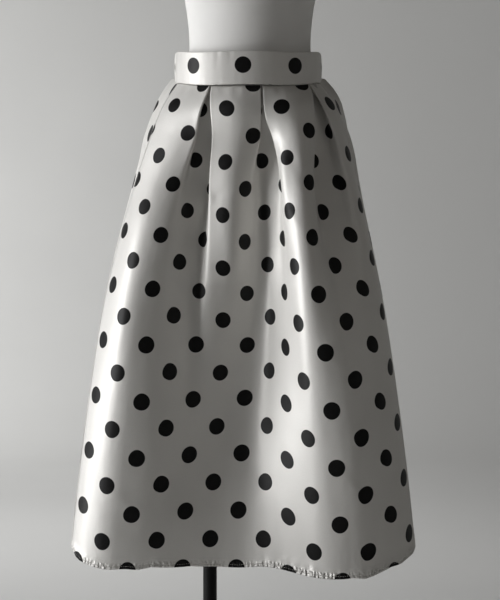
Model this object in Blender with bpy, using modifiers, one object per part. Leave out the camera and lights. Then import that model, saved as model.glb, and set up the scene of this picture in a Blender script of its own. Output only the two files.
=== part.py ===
"""Flared midi skirt with three box pleats in front, gathered behind, on a plain dress form and pole stand."""

import math

import bmesh
import bpy
import numpy as np

# Sizes in metres, +Z up, the front of the skirt facing -Y, the pole standing on the origin
FORM_X = 0.064
SEAM_Z = 1.009
SIDE_LIFT = 0.014
BAND_HIGH = 0.051
BAND_WALL = 0.0024
WALL = 0.0012
HEM_WALL = 0.0020
HEM_TURN = 0.013
SKIRT_LONG = 0.756
STEP = 0.042
GAP = 0.0003

RING_HALF_WIDE = 0.1155
RING_FRONT = 0.095
RING_BACK = 0.0864
RING_X = -0.003

POLE_ROUND = 0.011
BASE_ROUND = 0.180
BASE_HIGH = 0.008

# Heights down the cloth from the waist seam at which the folds are described
LEVELS = (0.0, 0.045, 0.095, 0.160, 0.240, 0.360, 0.500, 0.740)

# Each stretch of the front across the cloth: where it ends, in dot steps, how soft the
# fold there is at the waist, and how it turns away from straight across at each level (degrees)
FRONT = (
    # name, end, soft, waist, 45 mm, 95 mm, 160 mm, 240 mm, 360 mm, 500 mm, hem
    ("left_edge", -0.80, 0.50, -60, -56, -56, -58, -58, -56, -52, -50),
    ("left_side", 0.10, 0.50, -52, -46, -45, -42, -44, -42, -35, -24),
    ("left_ridge", 0.70, 0.50, -42, -33, -28, -14, -4, 8, 8, 6),
    ("left_panel", 1.35, 0.06, -42, -31, -12, 6, 12, 20, 14, 8),
    ("pleat_a_in", 1.85, 0.06, 146, 122, 92, 58, 46, 40, 28, 12),
    ("pleat_a_under", 2.85, 0.06, -27, -6, 10, 24, 36, 36, 35, 14),
    ("pleat_a_out", 3.35, 0.06, -200, -140, -124, -98, -72, -36, 18, 14),
    ("panel_ab_left", 4.35, 0.50, -16, -16, -12, -10, -8, 18, 25, 13),
    ("panel_ab_right", 5.30, 0.06, -1, 14, 24, 42, 46, 32, 10, 4),
    ("pleat_b_in", 5.80, 0.06, 180, 162, 130, 84, 56, 0, -24, -9),
    ("pleat_b_under", 6.85, 0.06, 7, 2, -8, -18, -24, -50, -47, -19),
    ("pleat_b_out", 7.35, 0.06, -166, -160, -134, -100, -84, -68, -47, -22),
    ("panel_bc_left", 8.30, 0.50, 15, 8, -12, -32, -54, -56, -42, -22),
    ("panel_bc_ridge", 8.65, 0.50, 26, 24, 6, -14, -30, -22, -14, -10),
    ("panel_bc_right", 9.35, 0.06, 33, 38, 46, 54, 52, 20, 2, 0),
    ("pleat_c_in", 9.85, 0.06, 216, 160, 142, 108, 76, 36, 17, 8),
    ("pleat_c_under", 10.85, 0.06, 44, 30, 22, 20, 24, 34, 35, 20),
    ("pleat_c_out", 11.35, 0.06, -128, -100, -66, -18, 12, 42, 52, 35),
    ("right_panel", 11.80, 0.50, 64, 66, 62, 59, 56, 52, 56, 46),
    ("right_edge", 12.50, 0.50, 64, 64, 70, 80, 82, 82, 74, 64),
)

# Where the two side seams run, and how far the back panel stands out past them and behind
SIDES = (
    # drop, left x, left y, right x, right y, left past, right past, back y
    (0.000, -0.1145, -0.024, 0.1105, -0.018, 0.002, 0.0025, 0.0870),
    (0.045, -0.137, -0.036, 0.134, -0.036, 0.006, 0.010, 0.114),
    (0.095, -0.155, -0.044, 0.150, -0.045, 0.005, 0.009, 0.128),
    (0.160, -0.175, -0.050, 0.164, -0.056, 0.004, 0.009, 0.138),
    (0.240, -0.196, -0.060, 0.180, -0.070, 0.003, 0.011, 0.144),
    (0.360, -0.224, -0.070, 0.203, -0.082, 0.003, 0.008, 0.146),
    (0.500, -0.246, -0.078, 0.225, -0.080, 0.003, 0.008, 0.145),
    (0.620, -0.261, -0.084, 0.241, -0.076, 0.003, 0.007, 0.142),
    (0.756, -0.275, -0.088, 0.256, -0.074, 0.002, 0.001, 0.138),
)

# Cloth across each panel at the waist and at the hem, in dot steps
FRONT_FROM = (-0.55, -1.50)
FRONT_TO = (12.40, 12.45)
BACK_WIDE = (0.640, 0.840)
GATHERS = 14
BACK_FOLDS = 5

# Where the side seams cross the waist ring, and how much higher the gathered back is sewn
SEAM_ANGLE_LEFT = -math.radians(75.3)
SEAM_ANGLE_RIGHT = math.radians(79.2)
BACK_RISE = 0.014

# How much higher than a plain hang the front lies, as its small ripples take it up (millimetres)
RISE_LEVELS = (0.0, 0.130, 0.250, 0.360, 0.500, 0.756)
RISE = (
    # across, waist, 130 mm, 250 mm, 360 mm, 500 mm, hem
    (-1.5, 0, -3, -2, -4, -5, -3),
    (0.0, 0, 0, -1, -4, -7, -9),
    (1.0, 0, 3, 5, 6, 3, 1),
    (2.0, 0, 9, 12, 16, 13, 11),
    (3.0, 0, 8, 11, 17, 18, 15),
    (4.0, 0, 1, 3, 8, 12, 10),
    (5.0, 0, 1, 4, 10, 15, 7),
    (6.0, 0, 5, 9, 14, 16, 11),
    (7.0, 0, 6, 7, 10, 10, 5),
    (8.0, 0, 5, 3, 3, -1, -6),
    (9.0, 0, -1, -6, -10, -14, -19),
    (10.0, 0, 3, 0, -4, -9, -17),
    (11.0, 0, -3, -5, -5, -8, -13),
    (12.5, 0, -5, -4, -3, -4, -8),
)

# How much shorter the hem is cut towards the side seams: across in dot steps, and metres
CUT = (
    # across, shorter by
    (-1.50, 0.015),
    (-1.05, 0.001),
    (0.75, 0.002),
    (5.50, 0.000),
    (7.40, 0.004),
    (9.20, 0.003),
    (10.90, 0.006),
    (11.45, 0.010),
    (12.00, 0.016),
    (12.45, 0.020),
)

# Where rows of the panels lie down the cloth
ROWS = (0.0, 0.012, 0.026, 0.045, 0.070, 0.100, 0.140, 0.190, 0.250, 0.330, 0.420, 0.520, 0.630)

# The form, from its foot up
FORM = (
    # height, half wide, half deep, middle y
    (0.690, 0.110, 0.056, 0.018),
    (0.696, 0.130, 0.068, 0.018),
    (0.712, 0.142, 0.076, 0.020),
    (0.770, 0.150, 0.082, 0.022),
    (0.840, 0.153, 0.083, 0.023),
    (0.900, 0.145, 0.081, 0.020),
    (0.950, 0.131, 0.079, 0.014),
    (0.985, 0.119, 0.0775, 0.009),
    (1.015, 0.1085, 0.0780, 0.006),
    (1.045, 0.1000, 0.0790, 0.005),
    (1.085, 0.0960, 0.0800, 0.001),
    (1.120, 0.0985, 0.0820, -0.002),
    (1.160, 0.1040, 0.0870, -0.006),
    (1.220, 0.117, 0.096, -0.010),
    (1.290, 0.130, 0.102, -0.012),
    (1.350, 0.140, 0.096, -0.007),
    (1.400, 0.146, 0.084, 0.001),
    (1.432, 0.142, 0.070, 0.006),
    (1.454, 0.124, 0.061, 0.008),
    (1.472, 0.096, 0.056, 0.009),
    (1.488, 0.070, 0.053, 0.008),
    (1.508, 0.055, 0.052, 0.007),
    (1.555, 0.052, 0.052, 0.006),
)


def between(x, xs, ys):
    """A smooth curve through the points, its slope at each the mean of the slopes beside it."""
    xs = np.asarray(xs, float)
    ys = np.asarray(ys, float)
    slopes = np.gradient(ys, xs)
    i = int(np.clip(np.searchsorted(xs, x) - 1, 0, len(xs) - 2))
    wide = xs[i + 1] - xs[i]
    t = min(max((x - xs[i]) / wide, 0.0), 1.0)
    a = (1 + 2 * t) * (1 - t) ** 2
    b = t * (1 - t) ** 2
    c = t * t * (3 - 2 * t)
    d = t * t * (t - 1)
    return a * ys[i] + b * wide * slopes[i] + c * ys[i + 1] + d * wide * slopes[i + 1]


def ease(x):
    x = np.clip(x, 0.0, 1.0)
    return x * x * (3 - 2 * x)


def side(drop, column):
    return between(drop, [row[0] for row in SIDES], [row[column] for row in SIDES])


def softness(drop, at_waist):
    """How wide the turn at a fold is, in dot steps: sharp at the seam, soft lower down."""
    return at_waist + (0.42 - min(at_waist, 0.42)) * float(ease(drop / 0.30))


def front_limits(drop):
    left = FRONT_FROM[0] + (FRONT_FROM[1] - FRONT_FROM[0]) * min(drop / 0.3, 1.0)
    right = FRONT_TO[0] + (FRONT_TO[1] - FRONT_TO[0]) * drop / SKIRT_LONG
    return left, right


def front_across(drop, columns):
    """Where the columns lie across the cloth at this drop, in dot steps."""
    left, right = front_limits(drop)
    return np.interp(columns, (columns[0], 0.95, 11.85, columns[-1]), (left, 0.95, 11.85, right))


def front_plan(drop, columns):
    """The front panel seen from above at this drop: x and y of the middle of its wall."""
    left, right = front_limits(drop)
    at = np.linspace(left, right, 1600)
    turns = [between(drop, LEVELS, row[3:]) for row in FRONT]
    turn = np.full(len(at), turns[0])
    for row, before, after in zip(FRONT, turns, turns[1:]):
        soft = softness(drop, row[2])
        turn += (after - before) * ease((at - row[1]) / (2 * soft) + 0.5)
    turn = np.radians(turn)
    stride = (at[1] - at[0]) * STEP
    path = np.concatenate([[0], np.cumsum(np.exp(1j * (turn[1:] + turn[:-1]) / 2) * stride)])
    start = complex(side(drop, 1), side(drop, 2))
    end = complex(side(drop, 3), side(drop, 4))
    path = start + path * (end - start) / path[-1]
    here = front_across(drop, columns)
    return np.interp(here, at, path.real), np.interp(here, at, path.imag)


def back_line(drop, count=900):
    """The plain line of the back from the right seam round to the left one."""
    right = complex(side(drop, 3), side(drop, 4))
    left = complex(side(drop, 1), side(drop, 2))
    behind = side(drop, 7)
    t = np.linspace(0.0, 1.0, count)
    ends = right + (left - right) * t
    out = np.sin(math.pi * t) ** 0.88
    y = ends.imag + (behind - ends.imag) * out
    past = np.where(t < 0.5, side(drop, 6), side(drop, 5)) * np.sin(2 * math.pi * np.minimum(t, 1 - t)) ** 2
    middle = (right.real + left.real) / 2
    half = (right.real - left.real) / 2
    square = np.sign(0.5 - t) * np.abs(np.cos(math.pi * t)) ** 0.92
    x = middle + half * square + np.where(t < 0.5, past, -past)
    return x + 1j * y


def back_plan(drop, columns):
    """The back panel from above: gathers at the waist that open into a few soft folds."""
    line = back_line(drop)
    steps = np.abs(np.diff(line))
    run = np.concatenate([[0], np.cumsum(steps)])
    total = run[-1]
    cloth = BACK_WIDE[0] + (BACK_WIDE[1] - BACK_WIDE[0]) * drop / SKIRT_LONG
    want = max(cloth / total, 1.0)
    at = np.linspace(0.0, 1.0, 1400)
    share = float(ease((drop - 0.015) / 0.22))
    edge = ease(at / 0.04) * ease((1 - at) / 0.09)
    small = np.sin(2 * math.pi * GATHERS * at) * (1 - 0.25 * np.sin(2 * math.pi * 3 * at + 1.0))
    large = np.sin(2 * math.pi * BACK_FOLDS * at + 0.5) * (1 + 0.25 * np.sin(2 * math.pi * 2 * at))
    wave = ((1 - share) * small + share * large) * edge
    low = 0.0
    high = 1.75
    for _ in range(26):
        mid = (low + high) / 2
        ratio = 1.0 / np.mean(np.cos(mid * wave))
        if 0 < ratio < want:
            low = mid
        else:
            high = mid
    lean = low * wave
    along = np.concatenate([[0], np.cumsum(np.cos((lean[1:] + lean[:-1]) / 2))])
    off = np.concatenate([[0], np.cumsum(np.sin((lean[1:] + lean[:-1]) / 2))])
    scale = total / along[-1]
    along = along * scale
    off = (off - off[-1] * at) * scale
    off -= (np.mean(off) * share + (np.max(off) - 0.0010) * (1 - share)) * edge
    tangent = np.gradient(line, run)
    tangent /= np.abs(tangent)
    px = np.interp(along, run, line.real)
    py = np.interp(along, run, line.imag)
    tx = np.interp(along, run, tangent.real)
    ty = np.interp(along, run, tangent.imag)
    x = px - off * ty
    y = py + off * tx
    here = (columns - columns[0]) / (columns[-1] - columns[0])
    return np.interp(here, at, x), np.interp(here, at, y)


def seam_lift(x, y, behind):
    """How far the waist seam rises above its lowest, which is at the middle of the front."""
    angle = math.atan2((x - RING_X) / RING_HALF_WIDE, -y / (RING_FRONT if y < 0 else RING_BACK))
    lift = SIDE_LIFT * float(ease((1 - math.cos(angle)) / 0.84))
    if behind:
        past = abs(angle) - (SEAM_ANGLE_RIGHT if angle > 0 else -SEAM_ANGLE_LEFT)
        lift += BACK_RISE * float(ease(past / 0.30))
    return lift


def front_rise(drop, across):
    """The front's rise at this drop, smooth across the panel."""
    high = [between(drop, RISE_LEVELS, row[1:]) / 1000 for row in RISE]
    fine = np.linspace(-2.5, 13.5, 321)
    rough = np.pad(np.interp(fine, [row[0] for row in RISE], high), 10, mode="edge")
    return np.interp(across, fine, np.convolve(rough, np.ones(21) / 21, mode="valid"))


def front_cut(across):
    return np.interp(across, [row[0] for row in CUT], [row[1] for row in CUT])


def sides_only(right, left, t):
    """A value that the back panel shares with the front at its side seams and loses away from them."""
    return right * (1 - ease(t / 0.25)) + left * ease((t - 0.75) / 0.25)


def back_rise(drop, t):
    left, right = front_rise(drop, np.array(front_limits(drop)))
    return sides_only(right, left, t)


def back_cut(t):
    return sides_only(CUT[-1][1], CUT[0][1], t)


def blurred(values, width):
    """Each value averaged with its neighbours, so a hem stays one smooth line."""
    padded = np.pad(values, width, mode="edge")
    kernel = np.ones(2 * width + 1) / (2 * width + 1)
    return np.convolve(padded, kernel, mode="valid")


def even_fall(fall, columns):
    """The fall shared with its neighbours, but at the side edges kept, so both panels meet there."""
    even = np.linspace(columns[0], columns[-1], 121)
    soft = np.interp(columns, even, blurred(np.interp(even, columns, fall), 6))
    t = (columns - columns[0]) / (columns[-1] - columns[0])
    return fall + (soft - fall) * ease(t / 0.06) * ease((1 - t) / 0.06)


def hung(plan, columns, rows, behind, rise, cut):
    """Points of a panel's middle surface, and each point's drop: cloth keeps its length as it hangs."""
    fine = np.linspace(0, SKIRT_LONG, 127)
    plans = np.array([np.stack(plan(drop, columns), 1) for drop in fine])
    z = np.array([SEAM_Z - 1.5 * GAP + seam_lift(x, y, behind) for x, y in plans[0]])
    heights = [z]
    for before, after, high, low in zip(plans, plans[1:], fine, fine[1:]):
        flat = np.sum((after - before) ** 2, 1)
        fall = np.sqrt(np.maximum((low - high) ** 2 - flat, (0.75 * (low - high)) ** 2))
        z = z - even_fall(fall, columns)
        heights.append(z)
    heights = np.array(heights) + np.array([rise(drop) for drop in fine])
    drops = rows[:, None] - cut[None, :] * ease((rows[:, None] - 0.60) / (SKIRT_LONG - 0.60))
    made = np.zeros((len(rows), len(columns), 3))
    for c in range(len(columns)):
        made[:, c, 0] = np.interp(drops[:, c], fine, plans[:, c, 0]) + FORM_X
        made[:, c, 1] = np.interp(drops[:, c], fine, plans[:, c, 1])
        made[:, c, 2] = np.interp(drops[:, c], fine, heights[:, c])
    return made, drops


def mesh_object(name, points, faces, material):
    mesh = bpy.data.meshes.new(name)
    mesh.from_pydata([tuple(p) for p in points], [], faces)
    mesh.update()
    work = bmesh.new()
    work.from_mesh(mesh)
    bmesh.ops.recalc_face_normals(work, faces=work.faces)
    work.to_mesh(mesh)
    work.free()
    for face in mesh.polygons:
        face.use_smooth = True
    thing = bpy.data.objects.new(name, mesh)
    bpy.data.collections["flared_skirt"].objects.link(thing)
    mesh.materials.append(material)
    return thing


def normals_of(grid):
    across = np.gradient(grid, axis=1)
    down = np.gradient(grid, axis=0)
    n = np.cross(across, down)
    return n / np.linalg.norm(n, axis=2, keepdims=True)


def level_ends(n):
    """The top and bottom edges' normals laid level, so those edges are flat faces."""
    for row in (0, -1):
        n[row, :, 2] = 0
        n[row] /= np.linalg.norm(n[row], axis=1, keepdims=True)
    return n


def mitred(front, back):
    """Normals of two panels, made the same where their side edges meet, and those edges drawn apart."""
    n_front = level_ends(normals_of(front))
    n_back = level_ends(normals_of(back))
    for at_front, next_front, at_back, next_back in ((0, 1, -1, -2), (-1, -2, 0, 1)):
        shared = n_front[:, at_front] + n_back[:, at_back]
        shared /= np.linalg.norm(shared, axis=1, keepdims=True)
        n_front[:, at_front] = shared
        n_back[:, at_back] = shared
        for grid, at, beside in ((front, at_front, next_front), (back, at_back, next_back)):
            way = grid[:, beside] - grid[:, at]
            grid[:, at] += way / np.linalg.norm(way, axis=1, keepdims=True) * GAP
    return n_front, n_back


def sheet(name, grid, n, walls, material):
    """A wall of cloth: the grid moved half the wall to each side, closed round its four edges."""
    half = np.asarray(walls)[:, None, None] / 2
    outer = grid + n * half
    inner = grid - n * half
    rows, cols = grid.shape[:2]
    points = np.concatenate([outer.reshape(-1, 3), inner.reshape(-1, 3)])
    shift = rows * cols
    faces = []
    for r in range(rows - 1):
        for c in range(cols - 1):
            a = r * cols + c
            faces.append((a, a + 1, a + cols + 1, a + cols))
            faces.append((a + shift, a + cols + shift, a + cols + 1 + shift, a + 1 + shift))
    edge = [(0, c) for c in range(cols)]
    edge += [(r, cols - 1) for r in range(1, rows)]
    edge += [(rows - 1, c) for c in range(cols - 2, -1, -1)]
    edge += [(r, 0) for r in range(rows - 2, 0, -1)]
    ids = [r * cols + c for r, c in edge]
    for a, b in zip(ids, ids[1:] + ids[:1]):
        faces.append((b, a, a + shift, b + shift))
    return mesh_object(name, points, faces, material)


def tube(name, rings, material):
    """A closed body through rings of equal count, its ends filled."""
    count = len(rings[0])
    points = np.concatenate(rings)
    faces = []
    for r in range(len(rings) - 1):
        for c in range(count):
            a = r * count + c
            b = r * count + (c + 1) % count
            faces.append((a, b, b + count, a + count))
    faces.append(tuple(range(count - 1, -1, -1)))
    last = (len(rings) - 1) * count
    faces.append(tuple(last + c for c in range(count)))
    return mesh_object(name, points, faces, material)


def ring_point(angle, out):
    """A point of the waist ring, the angle measured from the front towards the right."""
    deep = RING_FRONT if math.cos(angle) > 0 else RING_BACK
    x = RING_X + (RING_HALF_WIDE + out) * math.sin(angle)
    y = -(deep + out) * math.cos(angle)
    return x, y


def material(name, colour, roughness, metallic=0.0):
    made = bpy.data.materials.new(name)
    made.use_nodes = True
    shader = made.node_tree.nodes["Principled BSDF"]
    shader.inputs["Base Color"].default_value = (*colour, 1.0)
    shader.inputs["Roughness"].default_value = roughness
    shader.inputs["Metallic"].default_value = metallic
    made.diffuse_color = (*colour, 1.0)
    return made


def front_columns():
    """Columns across the front: close together round the pleats' folds, few on flat cloth."""
    marks = [FRONT_FROM[0], -0.1, 0.45, 0.95]
    for first in (1.35, 5.30, 9.35):
        for fold in (first, first + 0.5, first + 1.5 + 0.05 * (first == 5.30), first + 2.0 + 0.05 * (first == 5.30)):
            marks += [fold - 0.075, fold - 0.030, fold + 0.030, fold + 0.075]
            marks += [fold + 0.25]
        marks += [first + 0.90]
    marks += [4.0, 4.5, 5.0, 8.0, 8.5, 9.0, 11.85, 12.15, FRONT_TO[0]]
    return np.unique(np.round(marks, 3))


def skirt_panels(ivory_front, ivory_back):
    rows = np.array(list(ROWS) + [SKIRT_LONG - HEM_TURN, SKIRT_LONG - HEM_TURN + 0.002, SKIRT_LONG])
    walls = np.where(rows > SKIRT_LONG - HEM_TURN + 0.001, HEM_WALL, WALL)

    columns = front_columns()
    cut = front_cut(front_across(SKIRT_LONG, columns))
    front, _ = hung(front_plan, columns, rows, False, lambda drop: front_rise(drop, front_across(drop, columns)), cut)
    across = np.linspace(0, 1, GATHERS * 7 + 1)
    back, _ = hung(back_plan, across, rows, True, lambda drop: back_rise(drop, across), back_cut(across))
    n_front, n_back = mitred(front, back)
    front = sheet("skirt_front", front, n_front, walls, ivory_front)
    back = sheet("skirt_back", back, n_back, walls, ivory_back)
    return front, back


def band_rows(angle, behind):
    x, y = ring_point(angle, 0)
    low = SEAM_Z + seam_lift(x, y, behind)
    high = SEAM_Z + BAND_HIGH + seam_lift(x, y, False) * 0.86
    return [(low, 0.0), (low * 0.7 + high * 0.3, 0.0006), (low * 0.3 + high * 0.7, 0.0006), (high, -0.0004)]


def waistbands(ivory_front, ivory_back):
    count = 34
    angles = np.linspace(SEAM_ANGLE_LEFT, SEAM_ANGLE_RIGHT, count)
    grid = np.zeros((4, count, 3))
    for c, angle in enumerate(angles):
        for r, (z, out) in enumerate(reversed(band_rows(angle, False))):
            x, y = ring_point(angle, out)
            grid[r, c] = (x + FORM_X, y, z)
    front = grid
    gathers = 20
    count = gathers * 5 + 1
    angles = np.linspace(SEAM_ANGLE_RIGHT, 2 * math.pi + SEAM_ANGLE_LEFT, count)
    grid = np.zeros((4, count, 3))
    for c, angle in enumerate(angles):
        t = c / (count - 1)
        edge = float(ease(t / 0.05) * ease((1 - t) / 0.05))
        wave = 0.0011 * math.sin(2 * math.pi * gathers * t) * edge
        for r, (z, out) in enumerate(reversed(band_rows(angle, True))):
            x, y = ring_point(angle, out + wave * (0.6, 1.0, 1.0, 0.8)[r])
            grid[r, c] = (x + FORM_X, y, z)
    n_front, n_back = mitred(front, grid)
    front = sheet("waistband_front", front, n_front, [BAND_WALL] * 4, ivory_front)
    back = sheet("waistband_back", grid, n_back, [BAND_WALL] * 4, ivory_back)
    return front, back


def dress_form(cover, cap_metal):
    rings = []
    heights = [row[0] for row in FORM]
    levels = list(heights)
    for height in levels:
        wide = between(height, heights, [row[1] for row in FORM])
        deep = between(height, heights, [row[2] for row in FORM])
        middle = between(height, heights, [row[3] for row in FORM])
        ring = []
        for c in range(40):
            angle = 2 * math.pi * c / 40
            ring.append((FORM_X + wide * math.cos(angle), middle + deep * math.sin(angle), height))
        rings.append(np.array(ring))
    torso = tube("dress_form", rings, cover)
    bpy.ops.mesh.primitive_cylinder_add(vertices=40, radius=0.054, depth=0.010, location=(FORM_X, 0.006, 1.5603))
    cap = bpy.context.object
    cap.name = "neck_cap"
    finish(cap, cap_metal, 0.002)
    return torso, cap


def finish(thing, shade, bevel):
    thing.data.materials.append(shade)
    if bevel:
        soft = thing.modifiers.new("edge", "BEVEL")
        soft.width = bevel
        soft.segments = 2
        soft.limit_method = "ANGLE"
    for face in thing.data.polygons:
        face.use_smooth = True
    home = bpy.data.collections["flared_skirt"]
    for other in list(thing.users_collection):
        other.objects.unlink(thing)
    home.objects.link(thing)


def stand(steel):
    bpy.ops.mesh.primitive_cylinder_add(vertices=56, radius=BASE_ROUND, depth=BASE_HIGH, location=(0, 0, BASE_HIGH / 2))
    base = bpy.context.object
    base.name = "stand_base"
    finish(base, steel, 0.003)
    collar_low = BASE_HIGH + GAP
    bpy.ops.mesh.primitive_cylinder_add(vertices=32, radius=0.026, depth=0.030, location=(0, 0, collar_low + 0.015))
    collar = bpy.context.object
    collar.name = "base_collar"
    finish(collar, steel, 0.002)
    low = collar_low + 0.030 + GAP
    high = FORM[0][0] - 0.012 - 2 * GAP
    bpy.ops.mesh.primitive_cylinder_add(vertices=32, radius=POLE_ROUND, depth=high - low, location=(0, 0, (low + high) / 2))
    pole = bpy.context.object
    pole.name = "stand_pole"
    finish(pole, steel, 0.0)
    middle = FORM[0][0] - GAP - 0.006
    bpy.ops.mesh.primitive_cylinder_add(vertices=32, radius=0.030, depth=0.012, location=(0, 0, middle))
    plate = bpy.context.object
    plate.name = "form_plate"
    finish(plate, steel, 0.0015)


def main():
    for thing in list(bpy.data.objects):
        bpy.data.objects.remove(thing)
    home = bpy.data.collections.new("flared_skirt")
    bpy.context.scene.collection.children.link(home)
    front_satin = material("front_satin", (0.78, 0.75, 0.70), 0.38)
    back_satin = material("back_satin", (0.74, 0.71, 0.66), 0.38)
    band_satin = material("band_satin", (0.80, 0.77, 0.72), 0.36)
    back_band_satin = material("back_band_satin", (0.75, 0.72, 0.67), 0.40)
    cover = material("form_cover", (0.86, 0.85, 0.83), 0.80)
    cap_metal = material("cap_wood", (0.20, 0.15, 0.10), 0.50)
    steel = material("black_steel", (0.02, 0.02, 0.02), 0.45, 0.6)
    skirt_panels(front_satin, back_satin)
    waistbands(band_satin, back_band_satin)
    dress_form(cover, cap_metal)
    stand(steel)


main()
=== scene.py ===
"""Flared midi skirt in dotted satin on a plain dress form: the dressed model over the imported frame."""
import math

import bmesh
import bpy
import numpy as np
from bpy.props import FloatProperty, FloatVectorProperty, IntProperty, PointerProperty
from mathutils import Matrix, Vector


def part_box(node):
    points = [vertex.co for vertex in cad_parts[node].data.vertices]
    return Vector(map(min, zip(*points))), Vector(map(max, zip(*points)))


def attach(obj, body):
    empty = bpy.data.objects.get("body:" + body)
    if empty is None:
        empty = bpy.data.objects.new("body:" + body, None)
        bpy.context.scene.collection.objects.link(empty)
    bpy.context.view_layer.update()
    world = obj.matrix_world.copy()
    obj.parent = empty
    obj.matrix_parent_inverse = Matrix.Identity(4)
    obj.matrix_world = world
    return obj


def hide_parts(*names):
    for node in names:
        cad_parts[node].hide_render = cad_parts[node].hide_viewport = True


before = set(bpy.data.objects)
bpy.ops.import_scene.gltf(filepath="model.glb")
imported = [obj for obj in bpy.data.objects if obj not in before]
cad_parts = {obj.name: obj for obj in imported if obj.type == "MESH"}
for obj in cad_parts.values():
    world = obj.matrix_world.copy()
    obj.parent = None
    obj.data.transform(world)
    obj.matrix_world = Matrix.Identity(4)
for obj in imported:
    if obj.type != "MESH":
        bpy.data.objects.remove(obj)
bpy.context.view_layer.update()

bl_info = {
    "name": "Flared Skirt Maker",
    "version": (1, 0, 0),
    "blender": (4, 5, 0),
    "location": "3D View > Sidebar > Skirt",
    "description": "Makes a pleated flared skirt in dotted satin on a dress form",
    "category": "Object",
}

# Sizes in metres that the source and the scene share
FORM_X = 0.064
SEAM_Z = 1.009
SIDE_LIFT = 0.014
BAND_HIGH = 0.051
SKIRT_LONG = 0.756
STEP = 0.042
GAP = 0.0003
STITCH_ABOVE = 0.0042
HEM_WAVE = 0.00022
RING_HALF_WIDE = 0.1155
RING_FRONT = 0.095
RING_BACK = 0.0864
RING_X = -0.003
SEAM_ANGLE_LEFT = -math.radians(75.3)
SEAM_ANGLE_RIGHT = math.radians(79.2)
BACK_RISE = 0.014

# The waistband's rows as shares of its height from the top, and the row that its stitches lie on
BAND_STEPS = (0, 0.006, 0.016, 0.032, 0.06, 0.10, 0.16, 0.23, 0.31, 0.40)
BAND_STEPS += (0.50, 0.60, 0.69, 0.77, 0.84, 0.90, 0.94, 0.97, 0.985, 1.0)
BAND_STITCH_ROW = 17
BAND_GATHERS = 26

# Heights down the cloth from the waist seam at which the folds are described
LEVELS = (0.0, 0.045, 0.095, 0.160, 0.240, 0.360, 0.500, 0.740)

# Each stretch of the front across the cloth: where it ends, in dot steps, how soft the
# fold there is at the waist, and how it turns away from straight across at each level (degrees)
FRONT = (
    # name, end, soft, waist, 45 mm, 95 mm, 160 mm, 240 mm, 360 mm, 500 mm, hem
    ("left_edge", -0.80, 0.50, -60, -56, -56, -58, -58, -56, -52, -50),
    ("left_side", 0.10, 0.50, -52, -46, -40, -36, -42, -42, -35, -24),
    ("left_ridge", 0.70, 0.50, -42, -33, -28, -14, -4, 8, 8, 6),
    ("left_panel", 1.35, 0.06, -42, -31, -12, 6, 12, 20, 14, 8),
    ("pleat_a_in", 1.85, 0.06, 146, 128, 104, 76, 48, 38, 27, 12),
    ("pleat_a_under", 2.85, 0.03, -27, -6, 6, 16, 34, 36, 35, 14),
    ("pleat_a_out", 3.35, 0.02, -200, -140, -124, -98, -72, -36, 18, 14),
    ("panel_ab_left", 4.35, 0.50, -16, -16, -14, -17, -12, 18, 25, 13),
    ("panel_ab_right", 5.30, 0.03, -1, 14, 20, 32, 42, 32, 10, 4),
    ("pleat_b_in", 5.80, 0.03, 180, 162, 122, 62, 46, 0, -24, -9),
    ("pleat_b_under", 6.85, 0.03, 7, 2, -8, -18, -24, -50, -47, -19),
    ("pleat_b_out", 7.35, 0.02, -166, -160, -122, -92, -78, -66, -47, -22),
    ("pleat_b_edge", 7.75, 0.10, 15, -2, -45, -80, -76, -60, -42, -22),
    ("panel_bc_left", 8.30, 0.50, 15, 2, -25, -20, -40, -52, -42, -22),
    ("panel_bc_ridge", 8.65, 0.50, 26, 24, 6, -14, -30, -22, -14, -10),
    ("panel_bc_right", 9.35, 0.03, 33, 38, 46, 54, 52, 20, 2, 0),
    ("pleat_c_in", 9.85, 0.03, 216, 160, 142, 108, 76, 36, 17, 8),
    ("pleat_c_under", 10.85, 0.03, 44, 30, 22, 20, 24, 34, 35, 20),
    ("pleat_c_out", 11.35, 0.03, -128, -100, -66, -18, 12, 42, 52, 35),
    ("right_panel", 11.80, 0.50, 64, 66, 62, 59, 56, 52, 56, 46),
    ("right_edge", 12.50, 0.50, 64, 64, 70, 80, 82, 82, 74, 64),
)

# Where the two side seams run, and how far the back panel stands out past them and behind
SIDES = (
    # drop, left x, left y, right x, right y, left past, right past, back y
    (0.000, -0.1145, -0.024, 0.1105, -0.018, 0.002, 0.0025, 0.0870),
    (0.045, -0.137, -0.036, 0.134, -0.036, 0.006, 0.010, 0.114),
    (0.095, -0.155, -0.044, 0.150, -0.045, 0.005, 0.009, 0.128),
    (0.160, -0.175, -0.050, 0.164, -0.056, 0.004, 0.009, 0.138),
    (0.240, -0.196, -0.060, 0.180, -0.070, 0.003, 0.011, 0.144),
    (0.360, -0.224, -0.070, 0.203, -0.082, 0.003, 0.008, 0.146),
    (0.500, -0.246, -0.078, 0.225, -0.080, 0.003, 0.008, 0.145),
    (0.620, -0.261, -0.084, 0.241, -0.076, 0.003, 0.007, 0.142),
    (0.756, -0.275, -0.088, 0.256, -0.074, 0.002, 0.001, 0.138),
)

# Cloth across each panel at the waist and at the hem, in dot steps and metres
FRONT_FROM = (-0.55, -1.50)
FRONT_TO = (12.40, 12.45)
BACK_WIDE = (0.640, 0.840)
GATHERS = 14
BACK_FOLDS = 5

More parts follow.
